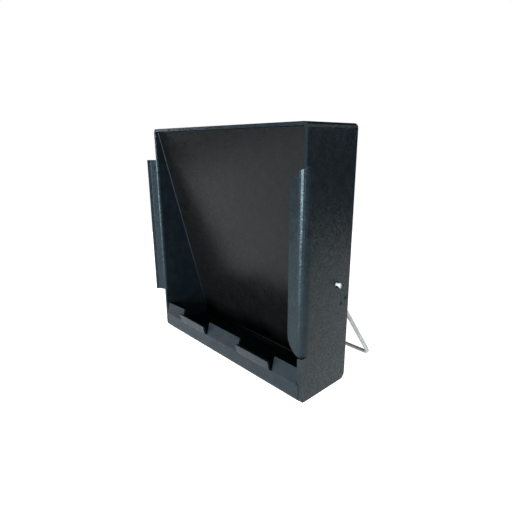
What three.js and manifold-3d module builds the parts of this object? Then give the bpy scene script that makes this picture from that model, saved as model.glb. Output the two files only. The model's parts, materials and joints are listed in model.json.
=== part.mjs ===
// Pellet trap for air guns: a shallow open-fronted box of folded sheet steel that holds a
// square target card in front of a sloping deflector plate, and stands on a folding wire stand.
// Millimetres, +Z up, the shooter's side faces -Y. The origin is the middle of the base.

import * as THREE from 'three';
import { mergeVertices } from 'three/addons/utils/BufferGeometryUtils.js';
import Module from 'manifold-3d';

// ---- driving dimensions -------------------------------------------------------------------

const WIDTH = 151;            // outside of one side wall to outside of the other
const DEPTH = 43;             // front plane to rear edges
const HEIGHT = 160;
const SHEET = 2;              // steel of the shell and the deflector, with its paint
const FLOOR_SHEET = 1.5;      // thinner steel of the floor and its lip
const GAP = 0.3;              // clearance between sheets that are welded together

const SIDE = WIDTH / 2;       // outer face of a side wall
const FRONT = -DEPTH / 2;
const REAR = DEPTH / 2;

const TOP_BEND = 2.8;         // outside radius of the folds between the top and the side walls
const WALL_FRONT_FOOT = 3;    // corner radii of a side wall, seen from the side
const WALL_REAR_FOOT = 4;

const FLANGE_WIDTH = 11.5;    // flange that holds the card on the right
const FLANGE_BEND = 5.2;      // outside radius of its fold
const FLANGE_LOW = 28.4;
const FLANGE_HIGH = 137.9;
const FLANGE_CORNER = 14;     // its arcs run past the wall, so they meet the fold at an angle
const FLANGE_ROOT = 5.2;      // depth behind the front plane where a flange leaves its wall
const RELIEF = 0.6;           // nick in the wall's front edge above the flange
const RELIEF_DEPTH = 1;
const FLANGE_MERGE = 1;       // height over which the flange's lower end runs into the uncut wall

const GUIDE_LOW = 32.7;       // flared guide strip on the left
const GUIDE_HIGH = 137.4;
const GUIDE_BEND = 0.6;       // inside radii of its two folds
const GUIDE_ELBOW_BEND = 0.6;
const GUIDE_ELBOW = [6, 2.5]; // outward from the wall's inner face, forward of the front plane
const GUIDE_TIP = [7.3, 4.6];
const GUIDE_CORNER = 1.5;

const LIP_HEIGHT = 11.6;      // upright part of the front lip
const LIP_BEND = 2.5;
const LIP_END_GAP = 0.4;      // seam between the lip and a side wall
const TAB_BEND = 1.2;         // inside radius of the tabs' bends
const TAB_ROOT = 4;           // height of the lip that a tab's own section includes
const BACK_TAB = [2.5, 20.9]; // top edge of a tab that leans back: behind the front plane, height
const TWIST = 0.6;            // share of its lean that the left tab loses at the wall
const KICK_LOW = 11;          // a forward tab is kicked out between these two heights
const KICK_HIGH = 12.8;
const KICK = 1.6;
const FORWARD_TAB = [2.7, 18.4];  // top edge of a forward tab: before the front plane, height
const MIDDLE_TAB = 18;        // half width of the middle tab, which leans back
const TAB_WIDTH = 32.5;       // width of a forward tab
const TAB_SLIT = 1.1;
const SLIT_FOOT = 0.9;        // radius of the round end of a slit
const TAB_CORNER = 0.8;
const EAR_HEIGHT = 36;        // upright ear of the floor, inside the right wall
const EAR_DEPTH = 9;
const EAR_TOP_RADIUS = 3;

const DEFLECTOR_TOP_Y = 2.2;  // front face behind the front plane, at the underside of the top
const DEFLECTOR_FOOT_Y = 41.5;   // the same, at the floor
const FOOT_BEND = 2;          // inside radius of the fold at the deflector's foot

const WIRE = 2.8;             // diameter of the stand's wire
const PIVOT = { y: FRONT + 30.4, z: 68 };
const PIVOT_HOLE = 2.1;
const STUB = 2.8;             // length of a wire end outside its side wall
const LEG_INSET = 5;          // middle of a leg, inside the wall's outer face
const CROSSBAR_Y = FRONT + 80.7;
const STAND_CORNER = 5;       // middle-line radii of the wire's bends
const STUB_CORNER = 2.5;

const DETENT_RADIUS = 14.2;   // dimples that hold a leg, about the pivot
const DETENT_ANGLES = [20.5, 41];   // degrees from straight down, towards the rear
const DIMPLE = 2.2;
const DIMPLE_DEPTH = 0.6;

const ARC_STEPS = 6;

// ---- materials ----------------------------------------------------------------------------

function paint(color) {
  return new THREE.MeshStandardMaterial({ color, roughness: 0.42, metalness: 0.3 });
}

const SHELL_PAINT = paint(0x2a333a);
const DEFLECTOR_PAINT = paint(0x22262a);
const WIRE_STEEL = new THREE.MeshStandardMaterial({ color: 0xb4b7b0, roughness: 0.35, metalness: 0.9 });

// ---- solids -------------------------------------------------------------------------------

const wasm = await Module();
wasm.setup();

function solid(geometry) {
  const bare = geometry.clone();
  bare.deleteAttribute('normal');
  bare.deleteAttribute('uv');
  const merged = mergeVertices(bare, 1e-4);
  return new wasm.Manifold(new wasm.Mesh({
    numProp: 3,
    vertProperties: new Float32Array(merged.attributes.position.array),
    triVerts: new Uint32Array(merged.index.array),
  }));
}

function mesh(name, body, material) {
  const data = body.getMesh();
  const geometry = new THREE.BufferGeometry();
  geometry.setAttribute('position', new THREE.BufferAttribute(data.vertProperties, 3));
  geometry.setIndex(new THREE.BufferAttribute(data.triVerts, 1));
  geometry.computeVertexNormals();
  const part = new THREE.Mesh(geometry, material);
  part.name = name;
  return part;
}

// A path through the corners, each rounded to its radius, as a list of points.
function roundedPath(corners, radii) {
  const path = [corners[0].clone()];
  for (let i = 1; i < corners.length - 1; i++) {
    const before = corners[i - 1].clone().sub(corners[i]).normalize();
    const after = corners[i + 1].clone().sub(corners[i]).normalize();
    const turn = Math.PI - Math.acos(before.dot(after));
    const tangent = radii[i - 1] * Math.tan(turn / 2);
    const start = corners[i].clone().addScaledVector(before, tangent);
    const middle = before.clone().add(after).normalize();
    const centre = corners[i].clone().addScaledVector(middle, radii[i - 1] / Math.cos(turn / 2));
    const out = start.clone().sub(centre);
    for (let k = 0; k <= ARC_STEPS; k++) {
      const angle = turn * k / ARC_STEPS;
      path.push(centre.clone()
        .addScaledVector(out, Math.cos(angle))
        .addScaledVector(before, -radii[i - 1] * Math.sin(angle)));
    }
  }
  path.push(corners[corners.length - 1].clone());
  return path;
}

// The section of a bent sheet: one face follows the rounded path, the other lies to its left.
function bentSection(corners, radii, thickness = SHEET) {
  const face = roundedPath(corners.map(([u, v]) => new THREE.Vector2(u, v)), radii);
  const back = face.map((point, i) => {
    const from = face[Math.max(i - 1, 0)];
    const to = face[Math.min(i + 1, face.length - 1)];
    let along = to.clone().sub(from).normalize();
    if (i > 0 && i < face.length - 1) {
      const incoming = point.clone().sub(from).normalize();
      const outgoing = to.clone().sub(point).normalize();
      along = incoming.add(outgoing).normalize();
    }
    return point.clone().add(new THREE.Vector2(-along.y, along.x).multiplyScalar(thickness));
  });
  return new THREE.Shape([...face, ...back.reverse()]);
}

function extruded(shape, length) {
  return new THREE.ExtrudeGeometry(shape, { depth: length, bevelEnabled: false, curveSegments: ARC_STEPS });
}

// Sections drawn in XY are extruded up Z, those in YZ along X, and those in XZ along Y.
function alongZ(shape, low, high) {
  return solid(extruded(shape, high - low).translate(0, 0, low));
}

function alongXMatrix(low) {
  return new THREE.Matrix4().set(0, 0, 1, low, 1, 0, 0, 0, 0, 1, 0, 0, 0, 0, 0, 1);
}

function alongX(shape, low, high) {
  return solid(extruded(shape, high - low).applyMatrix4(alongXMatrix(low)));
}

function alongY(shape, low, high) {
  const turn = new THREE.Matrix4().set(1, 0, 0, 0, 0, 0, -1, high, 0, 1, 0, 0, 0, 0, 0, 1);
  return solid(extruded(shape, high - low).applyMatrix4(turn));
}

function outline(corners, radii) {
  const points = corners.map(([u, v]) => new THREE.Vector2(u, v));
  const path = [];
  points.forEach((corner, i) => {
    if (!radii[i]) {
      path.push(corner);
      return;
    }
    const before = points[(i + points.length - 1) % points.length];
    const after = points[(i + 1) % points.length];
    path.push(...roundedPath([before, corner, after], [radii[i]]).slice(1, -1));
  });
  return new THREE.Shape(path);
}

function box(low, high) {
  const size = high.map((value, i) => value - low[i]);
  const middle = high.map((value, i) => (value + low[i]) / 2);
  return solid(new THREE.BoxGeometry(...size).translate(...middle));
}

function cylinderAlongX(radius, x, y, z, length) {
  const rod = new THREE.CylinderGeometry(radius, radius, length, 4 * ARC_STEPS);
  return solid(rod.rotateZ(Math.PI / 2).translate(x, y, z));
}

function ball(radius, x, y, z) {
  return solid(new THREE.SphereGeometry(radius, 16, 10).translate(x, y, z));
}

// ---- folded shell: both side walls and the top ---------------------------------------------

function shellSheet() {
  const section = bentSection([[SIDE, 0], [SIDE, HEIGHT], [-SIDE, HEIGHT], [-SIDE, 0]], [TOP_BEND, TOP_BEND]);
  const side = outline(
    [[FRONT, 0], [REAR, 0], [REAR, HEIGHT], [FRONT, HEIGHT]],
    [WALL_FRONT_FOOT, WALL_REAR_FOOT],
  );
  return alongY(section, FRONT, REAR).intersect(alongX(side, -SIDE, SIDE));
}

// What is cut off the front edge of a wall where a flange is bent from it.
function flangeCut(low, high) {
  return box([SIDE - 2 * SHEET, FRONT - SHEET, low], [SIDE + SHEET, FRONT + FLANGE_ROOT, high]);
}

function reliefNick() {
  const low = [SIDE - 2 * SHEET, FRONT - SHEET, FLANGE_HIGH];
  return box(low, [SIDE + SHEET, FRONT + RELIEF_DEPTH, FLANGE_HIGH + RELIEF]);
}

function cardFlange() {
  const section = bentSection(
    [[SIDE - FLANGE_WIDTH, FRONT], [SIDE, FRONT], [SIDE, FRONT + FLANGE_ROOT + 1]],
    [FLANGE_BEND],
  );
  const past = SIDE + FLANGE_CORNER / 2;
  const free = SIDE - FLANGE_WIDTH;
  const face = outline(
    [[past, FLANGE_LOW], [past, FLANGE_HIGH], [free, FLANGE_HIGH], [free, FLANGE_LOW]],
    [0, 0, FLANGE_CORNER, FLANGE_CORNER],
  );
  return alongZ(section, FLANGE_LOW, FLANGE_HIGH)
    .intersect(alongY(face, FRONT - SHEET, FRONT + 2 * FLANGE_ROOT));
}

// Made on the right, and mirrored to the left by its caller.
function guideStrip() {
  const inner = SIDE - SHEET;
  const section = bentSection(
    [
      [inner, FRONT + FLANGE_ROOT + 1],
      [inner, FRONT],
      [inner + GUIDE_ELBOW[0], FRONT - GUIDE_ELBOW[1]],
      [inner + GUIDE_TIP[0], FRONT - GUIDE_TIP[1]],
    ],
    [GUIDE_BEND + SHEET, GUIDE_ELBOW_BEND],
  );
  const tip = Math.max(...section.getPoints().map((point) => point.x));
  const face = outline(
    [[inner - SHEET, GUIDE_LOW], [tip, GUIDE_LOW], [tip, GUIDE_HIGH], [inner - SHEET, GUIDE_HIGH]],
    [0, GUIDE_CORNER, GUIDE_CORNER, 0],
  );
  return alongZ(section, GUIDE_LOW, GUIDE_HIGH).intersect(alongY(face, FRONT - DEPTH, REAR));
}

// Each wall has a pivot hole, and two dimples pressed inwards.
function withPivotsAndDimples(shell) {
  let body = shell;
  for (const side of [-1, 1]) {
    body = body.subtract(cylinderAlongX(PIVOT_HOLE, side * (SIDE - SHEET / 2), PIVOT.y, PIVOT.z, 3 * SHEET));
    for (const degrees of DETENT_ANGLES) {
      const angle = THREE.MathUtils.degToRad(degrees);
      const y = PIVOT.y + DETENT_RADIUS * Math.sin(angle);
      const z = PIVOT.z - DETENT_RADIUS * Math.cos(angle);
      body = body.add(ball(DIMPLE, side * (SIDE - SHEET - DIMPLE_DEPTH + DIMPLE), y, z)
        .intersect(box([-SIDE + SHEET / 2, FRONT, 0], [SIDE - SHEET / 2, REAR, HEIGHT])));
      body = body.subtract(ball(DIMPLE, side * (SIDE + DIMPLE - DIMPLE_DEPTH), y, z));
    }
  }
  return body;
}

function foldedShell() {
  const guideCut = flangeCut(GUIDE_LOW, GUIDE_HIGH).mirror([1, 0, 0]);
  const cut = shellSheet()
    .subtract(flangeCut(FLANGE_LOW + FLANGE_MERGE, FLANGE_HIGH))
    .subtract(reliefNick())
    .subtract(guideCut);
  return withPivotsAndDimples(cut).add(cardFlange()).add(guideStrip().mirror([1, 0, 0]));
}

// ---- deflector and floor ------------------------------------------------------------------

// The deflector's slope, and where the sheet folded forward at its foot ends.
const SLOPE = (DEFLECTOR_FOOT_Y - DEFLECTOR_TOP_Y) / (HEIGHT - 2 * SHEET);
const FOLD_Y = FRONT + DEFLECTOR_FOOT_Y - FOOT_BEND * (SLOPE + Math.hypot(1, SLOPE));

function deflectorPlate() {
  const topZ = HEIGHT - SHEET - GAP;
  const topY = FRONT + DEFLECTOR_TOP_Y + GAP * SLOPE;
  const section = bentSection(
    [[topY, topZ], [FRONT + DEFLECTOR_FOOT_Y, SHEET], [FOLD_Y, SHEET]],
    [FOOT_BEND],
  );
  const half = SIDE - SHEET - GAP;
  const squareTop = box([-SIDE, FRONT, 0], [SIDE, REAR + SHEET, topZ]);
  return alongX(section, -half, half).intersect(squareTop);
}

// Stretches of the lip above its upright part. Each section runs downwards, and its upper
// corners are rounded by the tab's outline.
function tab(section, low, high, top, untwist = 0) {
  const sheet = extruded(section, high - low).applyMatrix4(alongXMatrix(low));
  const place = sheet.attributes.position;
  for (let i = 0; i < place.count; i++) {
    const rise = place.getZ(i) - LIP_HEIGHT;
    if (place.getX(i) < low + GAP && rise > 0) {
      place.setY(i, place.getY(i) - untwist * rise);
    }
  }
  const face = outline(
    [[high, 0], [high, top], [low, top], [low, 0]],
    [0, TAB_CORNER, TAB_CORNER],
  );
  return solid(sheet).intersect(alongY(face, FRONT - DEPTH, REAR));
}

function backTab(low, high, untwist) {
  const [back, top] = BACK_TAB;
  const section = bentSection(
    [[FRONT + back, top], [FRONT, LIP_HEIGHT], [FRONT, LIP_HEIGHT - TAB_ROOT]],
    [TAB_BEND + FLOOR_SHEET],
    FLOOR_SHEET,
  );
  return tab(section, low, high, top, untwist);
}

function forwardTab(low, high) {
  const [forward, top] = FORWARD_TAB;
  const section = bentSection(
    [[FRONT - forward, top], [FRONT - KICK, KICK_HIGH], [FRONT, KICK_LOW], [FRONT, LIP_HEIGHT - TAB_ROOT]],
    [TAB_BEND + FLOOR_SHEET, TAB_BEND],
    FLOOR_SHEET,
  );
  return tab(section, low, high, top);
}

// The round end of the slit between two tabs.
function slitFoot(x) {
  const drill = new THREE.CylinderGeometry(SLIT_FOOT, SLIT_FOOT, 4 * FLOOR_SHEET, 2 * ARC_STEPS);
  return solid(drill.translate(x, FRONT + FLOOR_SHEET / 2, LIP_HEIGHT + SLIT_FOOT));
}

function ear() {
  const outer = SIDE - SHEET - GAP;
  const behindFlange = FRONT + FLANGE_ROOT;
  const shape = outline(
    [
      [FRONT + FLOOR_SHEET, FLOOR_SHEET / 2], [FRONT + EAR_DEPTH, FLOOR_SHEET / 2],
      [FRONT + EAR_DEPTH, EAR_HEIGHT], [behindFlange, EAR_HEIGHT],
      [behindFlange, FLANGE_LOW + GAP], [FRONT + GAP, FLANGE_LOW + GAP],
      [FRONT + GAP, LIP_HEIGHT], [FRONT + FLOOR_SHEET, LIP_HEIGHT],
    ],
    [0, 0, EAR_TOP_RADIUS],
  );
  return alongX(shape, outer - FLOOR_SHEET, outer);
}

function cardRestFloor() {
  const half = SIDE - SHEET - LIP_END_GAP;
  const earInside = SIDE - SHEET - FLOOR_SHEET - 2 * GAP;
  const section = bentSection(
    [[FRONT, LIP_HEIGHT], [FRONT, 0], [FOLD_Y - GAP, 0]],
    [LIP_BEND],
    FLOOR_SHEET,
  );
  let body = alongX(section, -half, half).add(ear());
  const outerTab = MIDDLE_TAB + TAB_WIDTH;
  const slit = TAB_SLIT / 2;
  const lean = BACK_TAB[0] / (BACK_TAB[1] - LIP_HEIGHT);
  body = body.add(backTab(-half, -outerTab - slit, TWIST * lean));
  body = body.add(backTab(-MIDDLE_TAB + slit, MIDDLE_TAB - slit));
  body = body.add(backTab(outerTab + slit, earInside));
  body = body.add(forwardTab(-outerTab + slit, -MIDDLE_TAB - slit));
  body = body.add(forwardTab(MIDDLE_TAB + slit, outerTab - slit));
  for (const x of [-outerTab, -MIDDLE_TAB, MIDDLE_TAB, outerTab]) {
    body = body.subtract(slitFoot(x));
  }
  return body;
}

// ---- wire stand ---------------------------------------------------------------------------

// A path whose stations are the given points, so that straight runs take no extra steps.
class StationPath extends THREE.Curve {
  constructor(points) {
    super();
    this.points = points;
  }

  getUtoTmapping(u) {
    return u;
  }

  getPoint(t, target = new THREE.Vector3()) {
    const place = THREE.MathUtils.clamp(t, 0, 1) * (this.points.length - 1);
    const i = Math.min(Math.floor(place), this.points.length - 2);
    return target.copy(this.points[i]).lerp(this.points[i + 1], place - i);
  }
}

function wireStand() {
  const leg = SIDE - LEG_INSET;
  const end = SIDE + STUB;
  const ground = WIRE / 2;
  const corners = [
    [-end, PIVOT.y, PIVOT.z], [-leg, PIVOT.y, PIVOT.z], [-leg, CROSSBAR_Y, ground],
    [leg, CROSSBAR_Y, ground], [leg, PIVOT.y, PIVOT.z], [end, PIVOT.y, PIVOT.z],
  ].map(([x, y, z]) => new THREE.Vector3(x, y, z));
  const stations = roundedPath(corners, [STUB_CORNER, STAND_CORNER, STAND_CORNER, STUB_CORNER]);
  const section = new THREE.Shape();
  section.absarc(0, 0, WIRE / 2, 0, 2 * Math.PI);
  return solid(new THREE.ExtrudeGeometry(section, {
    steps: stations.length - 1,
    curveSegments: 2 * ARC_STEPS,
    extrudePath: new StationPath(stations),
  }));
}

// ---- assembly -----------------------------------------------------------------------------

const trap = new THREE.Group();
trap.add(mesh('folded_shell', foldedShell(), SHELL_PAINT));
trap.add(mesh('deflector_plate', deflectorPlate(), DEFLECTOR_PAINT));
trap.add(mesh('card_rest_floor', cardRestFloor(), SHELL_PAINT));
trap.add(mesh('wire_stand', wireStand(), WIRE_STEEL));

export default trap;
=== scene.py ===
import json
import math

import bmesh
import bpy
from mathutils import Matrix, Vector


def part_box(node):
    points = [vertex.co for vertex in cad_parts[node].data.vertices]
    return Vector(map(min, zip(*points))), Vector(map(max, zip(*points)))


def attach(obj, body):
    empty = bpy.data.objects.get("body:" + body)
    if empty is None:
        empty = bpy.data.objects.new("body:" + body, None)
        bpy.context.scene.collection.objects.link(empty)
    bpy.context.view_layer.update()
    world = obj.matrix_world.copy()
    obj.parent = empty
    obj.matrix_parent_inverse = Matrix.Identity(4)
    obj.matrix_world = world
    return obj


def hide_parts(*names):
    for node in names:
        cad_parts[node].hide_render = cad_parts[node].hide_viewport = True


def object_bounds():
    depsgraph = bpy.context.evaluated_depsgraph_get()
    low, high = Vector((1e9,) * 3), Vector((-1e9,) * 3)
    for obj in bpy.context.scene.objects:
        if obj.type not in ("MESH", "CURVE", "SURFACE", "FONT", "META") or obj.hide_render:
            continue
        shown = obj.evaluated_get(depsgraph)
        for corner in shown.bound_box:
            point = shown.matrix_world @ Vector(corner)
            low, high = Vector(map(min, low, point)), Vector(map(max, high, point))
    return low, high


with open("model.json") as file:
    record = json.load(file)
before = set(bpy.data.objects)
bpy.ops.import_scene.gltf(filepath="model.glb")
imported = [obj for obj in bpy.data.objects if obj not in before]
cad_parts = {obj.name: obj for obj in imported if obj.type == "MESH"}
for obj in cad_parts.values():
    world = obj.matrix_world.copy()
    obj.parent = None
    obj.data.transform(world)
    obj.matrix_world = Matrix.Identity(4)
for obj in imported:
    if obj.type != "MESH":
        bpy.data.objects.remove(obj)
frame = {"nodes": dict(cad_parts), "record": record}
cad_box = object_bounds()

MM = 0.001
SHEET = 2.0 * MM            # steel of the shell and the deflector
FLOOR_SHEET = 1.5 * MM
GAP = 0.3 * MM              # between sheets that are welded together
WIRE_RADIUS = 1.4 * MM
LEG_INSET = 5.0 * MM        # middle of a leg, inside the wall's outer face
STAND_CORNER = 5.0 * MM     # middle-line radii of the wire's bends
STUB_CORNER = 2.5 * MM

SHELL_HIGH = Vector(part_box("folded_shell")[1])
PLATE_LOW, PLATE_HIGH = (Vector(corner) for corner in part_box("deflector_plate"))
FLOOR_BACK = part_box("card_rest_floor")[1][1]
STAND_HIGH = Vector(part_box("wire_stand")[1])
PIVOT = Vector(frame["record"]["behaviour"]["joints"][0]["pos_m"])
SIDE = SHELL_HIGH.x         # outer face of a side wall
INSIDE = SIDE - SHEET
CARD_SIDE_Y = -21.5 * MM    # front plane
PLATE_FOOT_Y = 20.0 * MM    # where the deflector's front face would meet the floor
SIDES = ((-1, "left"), (1, "right"))

PLATE_SEAM = 0.8 * MM       # radii of the hollow seams
FLOOR_SEAM = 1.0 * MM
SEAM_SINK = 0.05 * MM       # how far a seam reaches into its corner
BEAD_DEPTH = 0.8 * MM       # half depth of the beads over the gaps
FOOT_BEAD = 0.95 * MM       # and their half heights
TOP_BEAD = GAP
WELD_HEIGHTS = (28 * MM, 88 * MM, 138 * MM)
WELD_LENGTH = 11 * MM
WELD_RADIUS = 1.2 * MM

EDGE_ROUNDING = 0.4 * MM
SAME_PLANE = math.radians(0.2)      # faces within this angle are one flat face
BEND_STEP = math.radians(40)        # an edge up to this sharp is part of a bend
SMOOTH_LIMIT = math.radians(50)
STAGE_RADIUS = 0.45

CAMERA_PLACE = (0.21071, -0.18076, 0.14977)
CAMERA_YAW = math.radians(47.444)
CAMERA_PITCH = math.radians(15.648)
CAMERA_ROLL = math.radians(-0.355)
LENS = 28.44                # on a 36 mm sensor
SENSOR = 36


# ---- camera ---------------------------------------------------------------------------------

def make_camera():
    level = math.cos(CAMERA_PITCH)
    forward = Vector((-math.sin(CAMERA_YAW) * level, math.cos(CAMERA_YAW) * level, -math.sin(CAMERA_PITCH)))
    right = Vector((math.cos(CAMERA_YAW), math.sin(CAMERA_YAW), 0))
    up = right.cross(forward)
    cosine, sine = math.cos(CAMERA_ROLL), math.sin(CAMERA_ROLL)
    right, up = right * cosine + up * sine, up * cosine - right * sine
    data = bpy.data.cameras.new("camera")
    data.lens = LENS
    data.sensor_width = SENSOR
    camera = bpy.data.objects.new("camera", data)
    turn = Matrix((right, up, -forward)).transposed().to_4x4()
    camera.matrix_world = Matrix.Translation(Vector(CAMERA_PLACE)) @ turn
    bpy.context.scene.collection.objects.link(camera)
    bpy.context.scene.camera = camera


# ---- materials ------------------------------------------------------------------------------

class Nodes:
    """A material's node tree, with short calls for the nodes used here."""

    def __init__(self, name):
        self.material = bpy.data.materials.new(name)
        self.material.use_nodes = True
        self.tree = self.material.node_tree
        self.shader = self.tree.nodes["Principled BSDF"]
        self.place = self.tree.nodes.new("ShaderNodeTexCoord").outputs["Object"]

    def node(self, kind, **settings):
        node = self.tree.nodes.new("ShaderNode" + kind)
        for key, value in settings.items():
            setattr(node, key, value)
        return node

    def link(self, output, socket):
        self.tree.links.new(output, socket)

    def noise(self, scale, detail, stretch=(1, 1, 1)):
        mapping = self.node("Mapping")
        mapping.inputs["Scale"].default_value = stretch
        self.link(self.place, mapping.inputs["Vector"])
        node = self.node("TexNoise")
        node.inputs["Scale"].default_value = scale
        node.inputs["Detail"].default_value = detail
        self.link(mapping.outputs["Vector"], node.inputs["Vector"])
        return node.outputs["Fac"]

    def cell_colours(self, scale):
        node = self.node("TexVoronoi")
        node.inputs["Scale"].default_value = scale
        self.link(self.place, node.inputs["Vector"])
        return node.outputs["Color"]

    def spread(self, noise, start=0.0, end=1.0):
        """Noise, most of which lies between 0.3 and 0.7, stretched to run from start to end."""
        node = self.node("MapRange")
        for socket, number in zip(("From Min", "From Max", "To Min", "To Max"), (0.3, 0.7, start, end)):
            node.inputs[socket].default_value = number
        self.link(noise, node.inputs["Value"])
        return node.outputs["Result"]

    def mix(self, factor, first, second):
        node = self.node("Mix", data_type="RGBA")
        self.link(factor, node.inputs["Factor"])
        node.inputs["A"].default_value = (*first, 1)
        node.inputs["B"].default_value = (*second, 1)
        return node.outputs["Result"]

    def tilted(self, normal, colour, amount):
        """A normal that each flake's random colour tilts its own way."""
        centred = self.node("VectorMath", operation="SUBTRACT")
        centred.inputs[1].default_value = (0.5, 0.5, 0.5)
        self.link(colour, centred.inputs[0])
        scaled = self.node("VectorMath", operation="SCALE")
        scaled.inputs["Scale"].default_value = amount
        self.link(centred.outputs["Vector"], scaled.inputs[0])
        total = self.node("VectorMath", operation="ADD")
        self.link(normal, total.inputs[0])
        self.link(scaled.outputs["Vector"], total.inputs[1])
        unit = self.node("VectorMath", operation="NORMALIZE")
        self.link(total.outputs["Vector"], unit.inputs[0])
        return unit.outputs["Vector"]

    def bump(self, height, distance):
        node = self.node("Bump")
        node.inputs["Distance"].default_value = distance
        self.link(height, node.inputs["Height"])
        return node.outputs["Normal"]


def powder_coat(name, dark, light, roughness, gloss, tint, glitter):
    """Hammered powder coat: mottled dark colour and fine metallic flakes that each lie at their own tilt."""
    coat = Nodes(name)
    mottle = coat.spread(coat.noise(160, 4))
    flakes = coat.cell_colours(1500)
    coat.link(coat.mix(mottle, dark, light), coat.shader.inputs["Base Color"])
    satin = coat.spread(coat.noise(420, 3), roughness - 0.04, roughness + 0.05)
    coat.link(satin, coat.shader.inputs["Roughness"])
    coat.shader.inputs["Specular IOR Level"].default_value = gloss
    coat.shader.inputs["Specular Tint"].default_value = (*tint, 1)
    ripple = coat.bump(coat.noise(900, 2), 0.05 * MM)
    coat.link(coat.tilted(ripple, flakes, glitter), coat.shader.inputs["Normal"])
    return coat.material


def zinc_wire(name):
    """Satin zinc plate on drawn wire: faint lengthwise lines and cloudy spots."""
    zinc = Nodes(name)
    cloud = zinc.spread(zinc.noise(220, 4))
    lines = zinc.noise(1500, 2, stretch=(1, 1, 0.12))
    colour = zinc.mix(cloud, (0.25, 0.26, 0.245), (0.34, 0.35, 0.33))
    zinc.link(colour, zinc.shader.inputs["Base Color"])
    zinc.shader.inputs["Metallic"].default_value = 0.20
    zinc.link(zinc.spread(lines, 0.40, 0.55), zinc.shader.inputs["Roughness"])
    zinc.link(zinc.bump(lines, 0.03 * MM), zinc.shader.inputs["Normal"])
    return zinc.material


def dress(node, material):
    """Gives a CAD node its material, softened edges and smooth bends."""
    part = frame["nodes"][node]
    part.data.materials.clear()
    part.data.materials.append(material)
    flat = part.modifiers.new("merge_flat_faces", "DECIMATE")
    flat.decimate_type = "DISSOLVE"
    flat.angle_limit = SAME_PLANE
    edge = part.modifiers.new("sheet_edges", "BEVEL")
    edge.width = EDGE_ROUNDING
    edge.segments = 2
    edge.limit_method = "ANGLE"
    edge.angle_limit = BEND_STEP
    edge.use_clamp_overlap = False
    edge.miter_outer = "MITER_ARC"
    smooth_bends(part)
    part.modifiers.new("even_shading", "WEIGHTED_NORMAL").keep_sharp = True


def smooth_bends(thing):
    thing.modifiers.new("smooth_bends", "NODES").node_group = smooth_group()


def smooth_group():
    """Geometry nodes that shade smooth, apart from edges sharper than a bend's own facets."""
    if "smooth_bends" in bpy.data.node_groups:
        return bpy.data.node_groups["smooth_bends"]
    group = bpy.data.node_groups.new("smooth_bends", "GeometryNodeTree")
    group.interface.new_socket("Geometry", in_out="INPUT", socket_type="NodeSocketGeometry")
    group.interface.new_socket("Geometry", in_out="OUTPUT", socket_type="NodeSocketGeometry")
    start, end = group.nodes.new("NodeGroupInput"), group.nodes.new("NodeGroupOutput")
    faces = group.nodes.new("GeometryNodeSetShadeSmooth")
    edges = group.nodes.new("GeometryNodeSetShadeSmooth")
    edges.domain = "EDGE"
    angle = group.nodes.new("GeometryNodeInputMeshEdgeAngle")
    gentle = group.nodes.new("FunctionNodeCompare")
    gentle.operation = "LESS_THAN"
    gentle.inputs["B"].default_value = SMOOTH_LIMIT
    group.links.new(angle.outputs["Unsigned Angle"], gentle.inputs["A"])
    group.links.new(gentle.outputs["Result"], edges.inputs["Shade Smooth"])
    group.links.new(start.outputs[0], faces.inputs["Geometry"])
    group.links.new(faces.outputs["Geometry"], edges.inputs["Geometry"])
    group.links.new(edges.outputs["Geometry"], end.inputs[0])
    return group


# ---- pieces ---------------------------------------------------------------------------------

def piece_from(name, rings, material, body):
    """A smooth closed skin over rings of points that all have the same count."""
    build = bmesh.new()
    corners = [[build.verts.new(point) for point in ring] for ring in rings]
    count = len(rings[0])
    for here, there in zip(corners, corners[1:]):
        for i in range(count):
            build.faces.new((here[i], here[(i + 1) % count], there[(i + 1) % count], there[i]))
    build.faces.new(corners[0][::-1])
    build.faces.new(corners[-1])
    bmesh.ops.recalc_face_normals(build, faces=build.faces)
    mesh = bpy.data.meshes.new(name)
    build.to_mesh(mesh)
    build.free()
    mesh.polygons.foreach_set("use_smooth", [True] * len(mesh.polygons))
    mesh.materials.append(material)
    piece = bpy.data.objects.new(name, mesh)
    bpy.context.scene.collection.objects.link(piece)
    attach(piece, body)
    return piece


def rounded(corners, radii, steps=10):
    """Points along a path whose inner corners are arcs."""
    path = [corners[0]]
    for before, corner, after, radius in zip(corners, corners[1:], corners[2:], radii):
        into, out = (before - corner).normalized(), (after - corner).normalized()
        turn = math.pi - into.angle(out)
        start = corner + into * radius * math.tan(turn / 2)
        centre = corner + (into + out).normalized() * radius / math.cos(turn / 2)
        for k in range(steps + 1):
            angle = turn * k / steps
            path.append(centre + (start - centre) * math.cos(angle) - into * radius * math.sin(angle))
    return path + [corners[-1]]


def around(along, normal, sides=28):
    """Unit vectors round a direction, starting at a normal of it."""
    square = along.cross(normal)
    angles = [2 * math.pi * i / sides for i in range(sides)]
    return [normal * math.cos(angle) + square * math.sin(angle) for angle in angles]


def pinched_end(side, spokes):
    """Rings from inside a wall to the wire's tip, which is pinched flat so that it can't slip back."""
    tip = (STAND_HIGH.x - SIDE) / MM
    stations = [     # outside the wall, half height, half thickness, lift
        (-1.9, 1.40, 1.40, 0.00), (-0.9, 1.38, 1.40, 0.00), (-0.1, 1.15, 1.30, 0.20),
        (0.35 * tip, 1.12, 1.12, 0.22), (0.70 * tip, 1.42, 0.92, -0.04), (0.92 * tip, 1.66, 0.80, -0.27),
        (0.99 * tip, 1.60, 0.70, -0.27), (tip, 1.42, 0.55, -0.27),
    ]
    rings = []
    for outside, height, thickness, lift in stations:
        centre = Vector((side * (SIDE + outside * MM), PIVOT.y, PIVOT.z + lift * MM))
        rings.append([centre + Vector((0, spoke.y * thickness, spoke.z * height)) * MM for spoke in spokes])
    return rings if side > 0 else rings[::-1]


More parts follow.
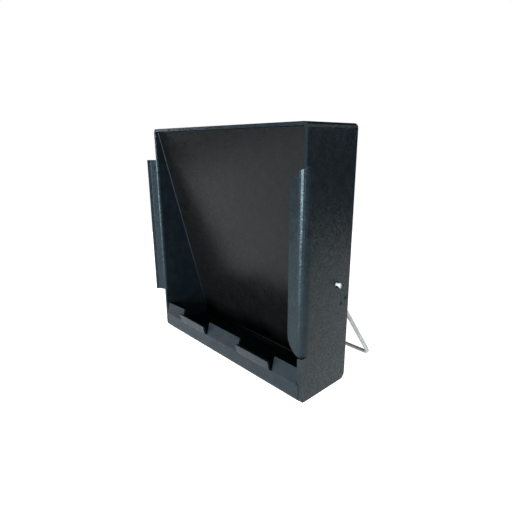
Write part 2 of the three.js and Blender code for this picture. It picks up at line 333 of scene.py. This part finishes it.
def stand_wire(material):
    """The bent wire: an end, a leg, the crossbar, a leg and an end."""
    leg = SIDE - LEG_INSET
    back = STAND_HIGH.y - WIRE_RADIUS
    corners = [
        Vector((-SIDE, PIVOT.y, PIVOT.z)),
        Vector((-leg, PIVOT.y, PIVOT.z)),
        Vector((-leg, back, WIRE_RADIUS)),
        Vector((leg, back, WIRE_RADIUS)),
        Vector((leg, PIVOT.y, PIVOT.z)),
        Vector((SIDE, PIVOT.y, PIVOT.z)),
    ]
    path = rounded(corners, [STUB_CORNER, STAND_CORNER, STAND_CORNER, STUB_CORNER])
    across = Vector((1, 0, 0))
    plane = across.cross(Vector((0, back - PIVOT.y, WIRE_RADIUS - PIVOT.z))).normalized()
    rings = []
    for before, point, after in zip(path, path[1:], path[2:]):
        along = (after - before).normalized()
        rings.append([point + spoke * WIRE_RADIUS for spoke in around(along, plane)])
    ends = around(across, plane)
    rings = pinched_end(-1, ends) + rings + pinched_end(1, ends)
    wire = piece_from("bent_stand_wire", rings, material, "stand")
    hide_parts("wire_stand")


def fillet(name, start, end, first, second, radius, material, steps=6):
    """The hollow of paint and weld metal that fills a corner between two directions."""
    sunk = (first + second) * -SEAM_SINK
    profile = [Vector((0, 0, 0))]
    for k in range(steps + 1):
        angle = math.pi / 2 * k / steps
        profile.append((first * (1 - math.sin(angle)) + second * (1 - math.cos(angle))) * radius)
    rings = [[place + sunk + offset for offset in profile] for place in (start, end)]
    smooth_bends(piece_from(name, rings, material, "trap"))


def plate_point(side, height):
    """A point of the deflector's front face, at a wall."""
    slope = (PLATE_FOOT_Y - PLATE_LOW.y) / (PLATE_HIGH.z - SHEET)
    return Vector((side * INSIDE, PLATE_FOOT_Y - slope * (height - SHEET), height))


def plate_directions():
    """Up the deflector's slope, and straight out of its front face."""
    upward = (plate_point(1, PLATE_HIGH.z) - plate_point(1, SHEET)).normalized()
    return upward, Vector((1, 0, 0)).cross(upward)


def seam_fillets(material):
    """Seams that show at the front: along the deflector's sides and the floor's sides."""
    facing = plate_directions()[1]
    for side, word in SIDES:
        inward = Vector((-side, 0, 0))
        low, high = plate_point(side, SHEET + 1.2 * MM), plate_point(side, PLATE_HIGH.z)
        fillet("deflector_seam_" + word, low, high, inward, facing, PLATE_SEAM, material)
        front = Vector((side * INSIDE, CARD_SIDE_Y + 2 * FLOOR_SHEET, FLOOR_SHEET))
        rear = Vector((side * INSIDE, PLATE_FOOT_Y - SHEET, FLOOR_SHEET))
        fillet("floor_seam_" + word, front, rear, inward, Vector((0, 0, 1)), FLOOR_SEAM, material)


def bead(name, middle, height, material):
    """A low oval bead of weld metal along a narrow gap, from wall to wall."""
    reach = Vector((INSIDE - GAP, 0, 0))
    spokes = around(Vector((1, 0, 0)), Vector((0, 0, 1)), 16)
    section = [Vector((0, spoke.y * BEAD_DEPTH, spoke.z * height)) for spoke in spokes]
    rings = [[place + offset for offset in section] for place in (middle - reach, middle + reach)]
    piece_from(name, rings, material, "trap")


def cross_seams(material):
    """Seams over the narrow gaps at the deflector's foot and at its top edge."""
    bead("foot_seam", Vector((0, FLOOR_BACK + GAP / 2, SHEET / 2)), FOOT_BEAD, material)
    bead("top_seam", Vector((0, PLATE_LOW.y + SHEET / 2, PLATE_HIGH.z)), TOP_BEAD, material)


def rear_welds(material, steps=40):
    """Short rippled weld beads between the deflector's back and the side walls."""
    upward, facing = plate_directions()
    for side, word in SIDES:
        spokes = around(upward, Vector((-side, 0, 0)), 14)
        for number, height in enumerate(WELD_HEIGHTS):
            middle = plate_point(side, height) - facing * SHEET
            rings = []
            for k in range(steps + 1):
                share = 2 * k / steps - 1
                swell = math.sqrt(max(1 - share ** 4, 0.02))
                ripple = 1 + 0.10 * abs(math.sin(9 * math.pi * share))
                centre = middle + upward * share * WELD_LENGTH / 2
                rings.append([centre + spoke * WELD_RADIUS * swell * ripple for spoke in spokes])
            piece_from(f"rear_weld_{word}_{number + 1}", rings, material, "trap")


# ---- floor and light ------------------------------------------------------------------------

def pale_floor():
    mesh = bpy.data.meshes.new("floor")
    build = bmesh.new()
    bmesh.ops.create_circle(build, cap_ends=True, segments=96, radius=STAGE_RADIUS)
    build.to_mesh(mesh)
    build.free()
    floor = bpy.data.objects.new("floor", mesh)
    floor.location.z = cad_box[0][2] - 0.2 * MM
    bpy.context.scene.collection.objects.link(floor)
    sheet = Nodes("pale_floor")
    sheet.shader.inputs["Base Color"].default_value = (0.9, 0.9, 0.9, 1)
    sheet.shader.inputs["Roughness"].default_value = 0.9
    sheet.shader.inputs["Emission Color"].default_value = (1, 1, 1, 1)
    sheet.shader.inputs["Emission Strength"].default_value = 0.97
    mesh.materials.append(sheet.material)


def soft_box(name, place, size, power, colour=(1, 1, 1), aim=(0, 0, 0.10)):
    data = bpy.data.lights.new(name, "AREA")
    data.shape = "RECTANGLE"
    data.size, data.size_y = size
    data.energy = power
    data.color = colour
    light = bpy.data.objects.new(name, data)
    light.location = place
    light.rotation_euler = (Vector(aim) - Vector(place)).to_track_quat("-Z", "Y").to_euler()
    bpy.context.scene.collection.objects.link(light)
    return light


def soft_boxes():
    soft_box("front_window", (0.12, -0.77, 0.14), size=(0.22, 0.28), power=19, colour=(0.76, 0.92, 1.0))
    soft_box("left_window", (-0.74, -0.60, 0.78), size=(0.56, 0.44), power=1.20, colour=(1.0, 0.95, 0.91))
    soft_box("side_window", (-0.90, -0.14, 0.20), size=(0.24, 0.34), power=3.0, colour=(0.92, 0.96, 1.0))
    fill = soft_box("right_fill", (0.95, -0.50, 0.30), size=(0.40, 0.40), power=7.0, aim=(0, 0, 0.05))
    fill.visible_glossy = False     # lights the paint, and isn't mirrored in it
    soft_box("rear_window", (0.75, 0.70, 0.60), size=(0.50, 0.50), power=3.0, colour=(0.96, 0.98, 1.0),
             aim=(0, 0, 0.06))


def surroundings():
    """White behind the object, and a dimmer room for it to reflect."""
    world = bpy.data.worlds.new("room")
    bpy.context.scene.world = world
    world.use_nodes = True
    tree = world.node_tree
    room = tree.nodes["Background"]
    room.inputs["Color"].default_value = (0.80, 0.90, 1.0, 1)
    room.inputs["Strength"].default_value = 0.05
    backdrop = tree.nodes.new("ShaderNodeBackground")
    backdrop.inputs["Color"].default_value = (1, 1, 1, 1)
    ray = tree.nodes.new("ShaderNodeLightPath")
    pick = tree.nodes.new("ShaderNodeMixShader")
    tree.links.new(ray.outputs["Is Camera Ray"], pick.inputs["Fac"])
    tree.links.new(room.outputs["Background"], pick.inputs[1])
    tree.links.new(backdrop.outputs["Background"], pick.inputs[2])
    tree.links.new(pick.outputs["Shader"], tree.nodes["World Output"].inputs["Surface"])
    bpy.context.scene.view_settings.view_transform = "Standard"


# ---- the object -----------------------------------------------------------------------------

make_camera()
pale_floor()
surroundings()
soft_boxes()

shell = powder_coat("shell_powder_coat", dark=(0.0030, 0.0046, 0.0062), light=(0.0054, 0.0080, 0.0104),
                    roughness=0.36, gloss=0.175, tint=(0.84, 0.98, 1.0), glitter=0.15)
plate = powder_coat("deflector_powder_coat", dark=(0.0022, 0.0022, 0.0022), light=(0.0036, 0.0035, 0.0034),
                    roughness=0.30, gloss=0.125, tint=(1.0, 1.0, 1.0), glitter=0.02)
zinc = zinc_wire("zinc_plate")
dress("folded_shell", shell)
dress("card_rest_floor", shell)
dress("deflector_plate", plate)
dress("wire_stand", zinc)
stand_wire(zinc)
seam_fillets(shell)
cross_seams(shell)
rear_welds(shell)
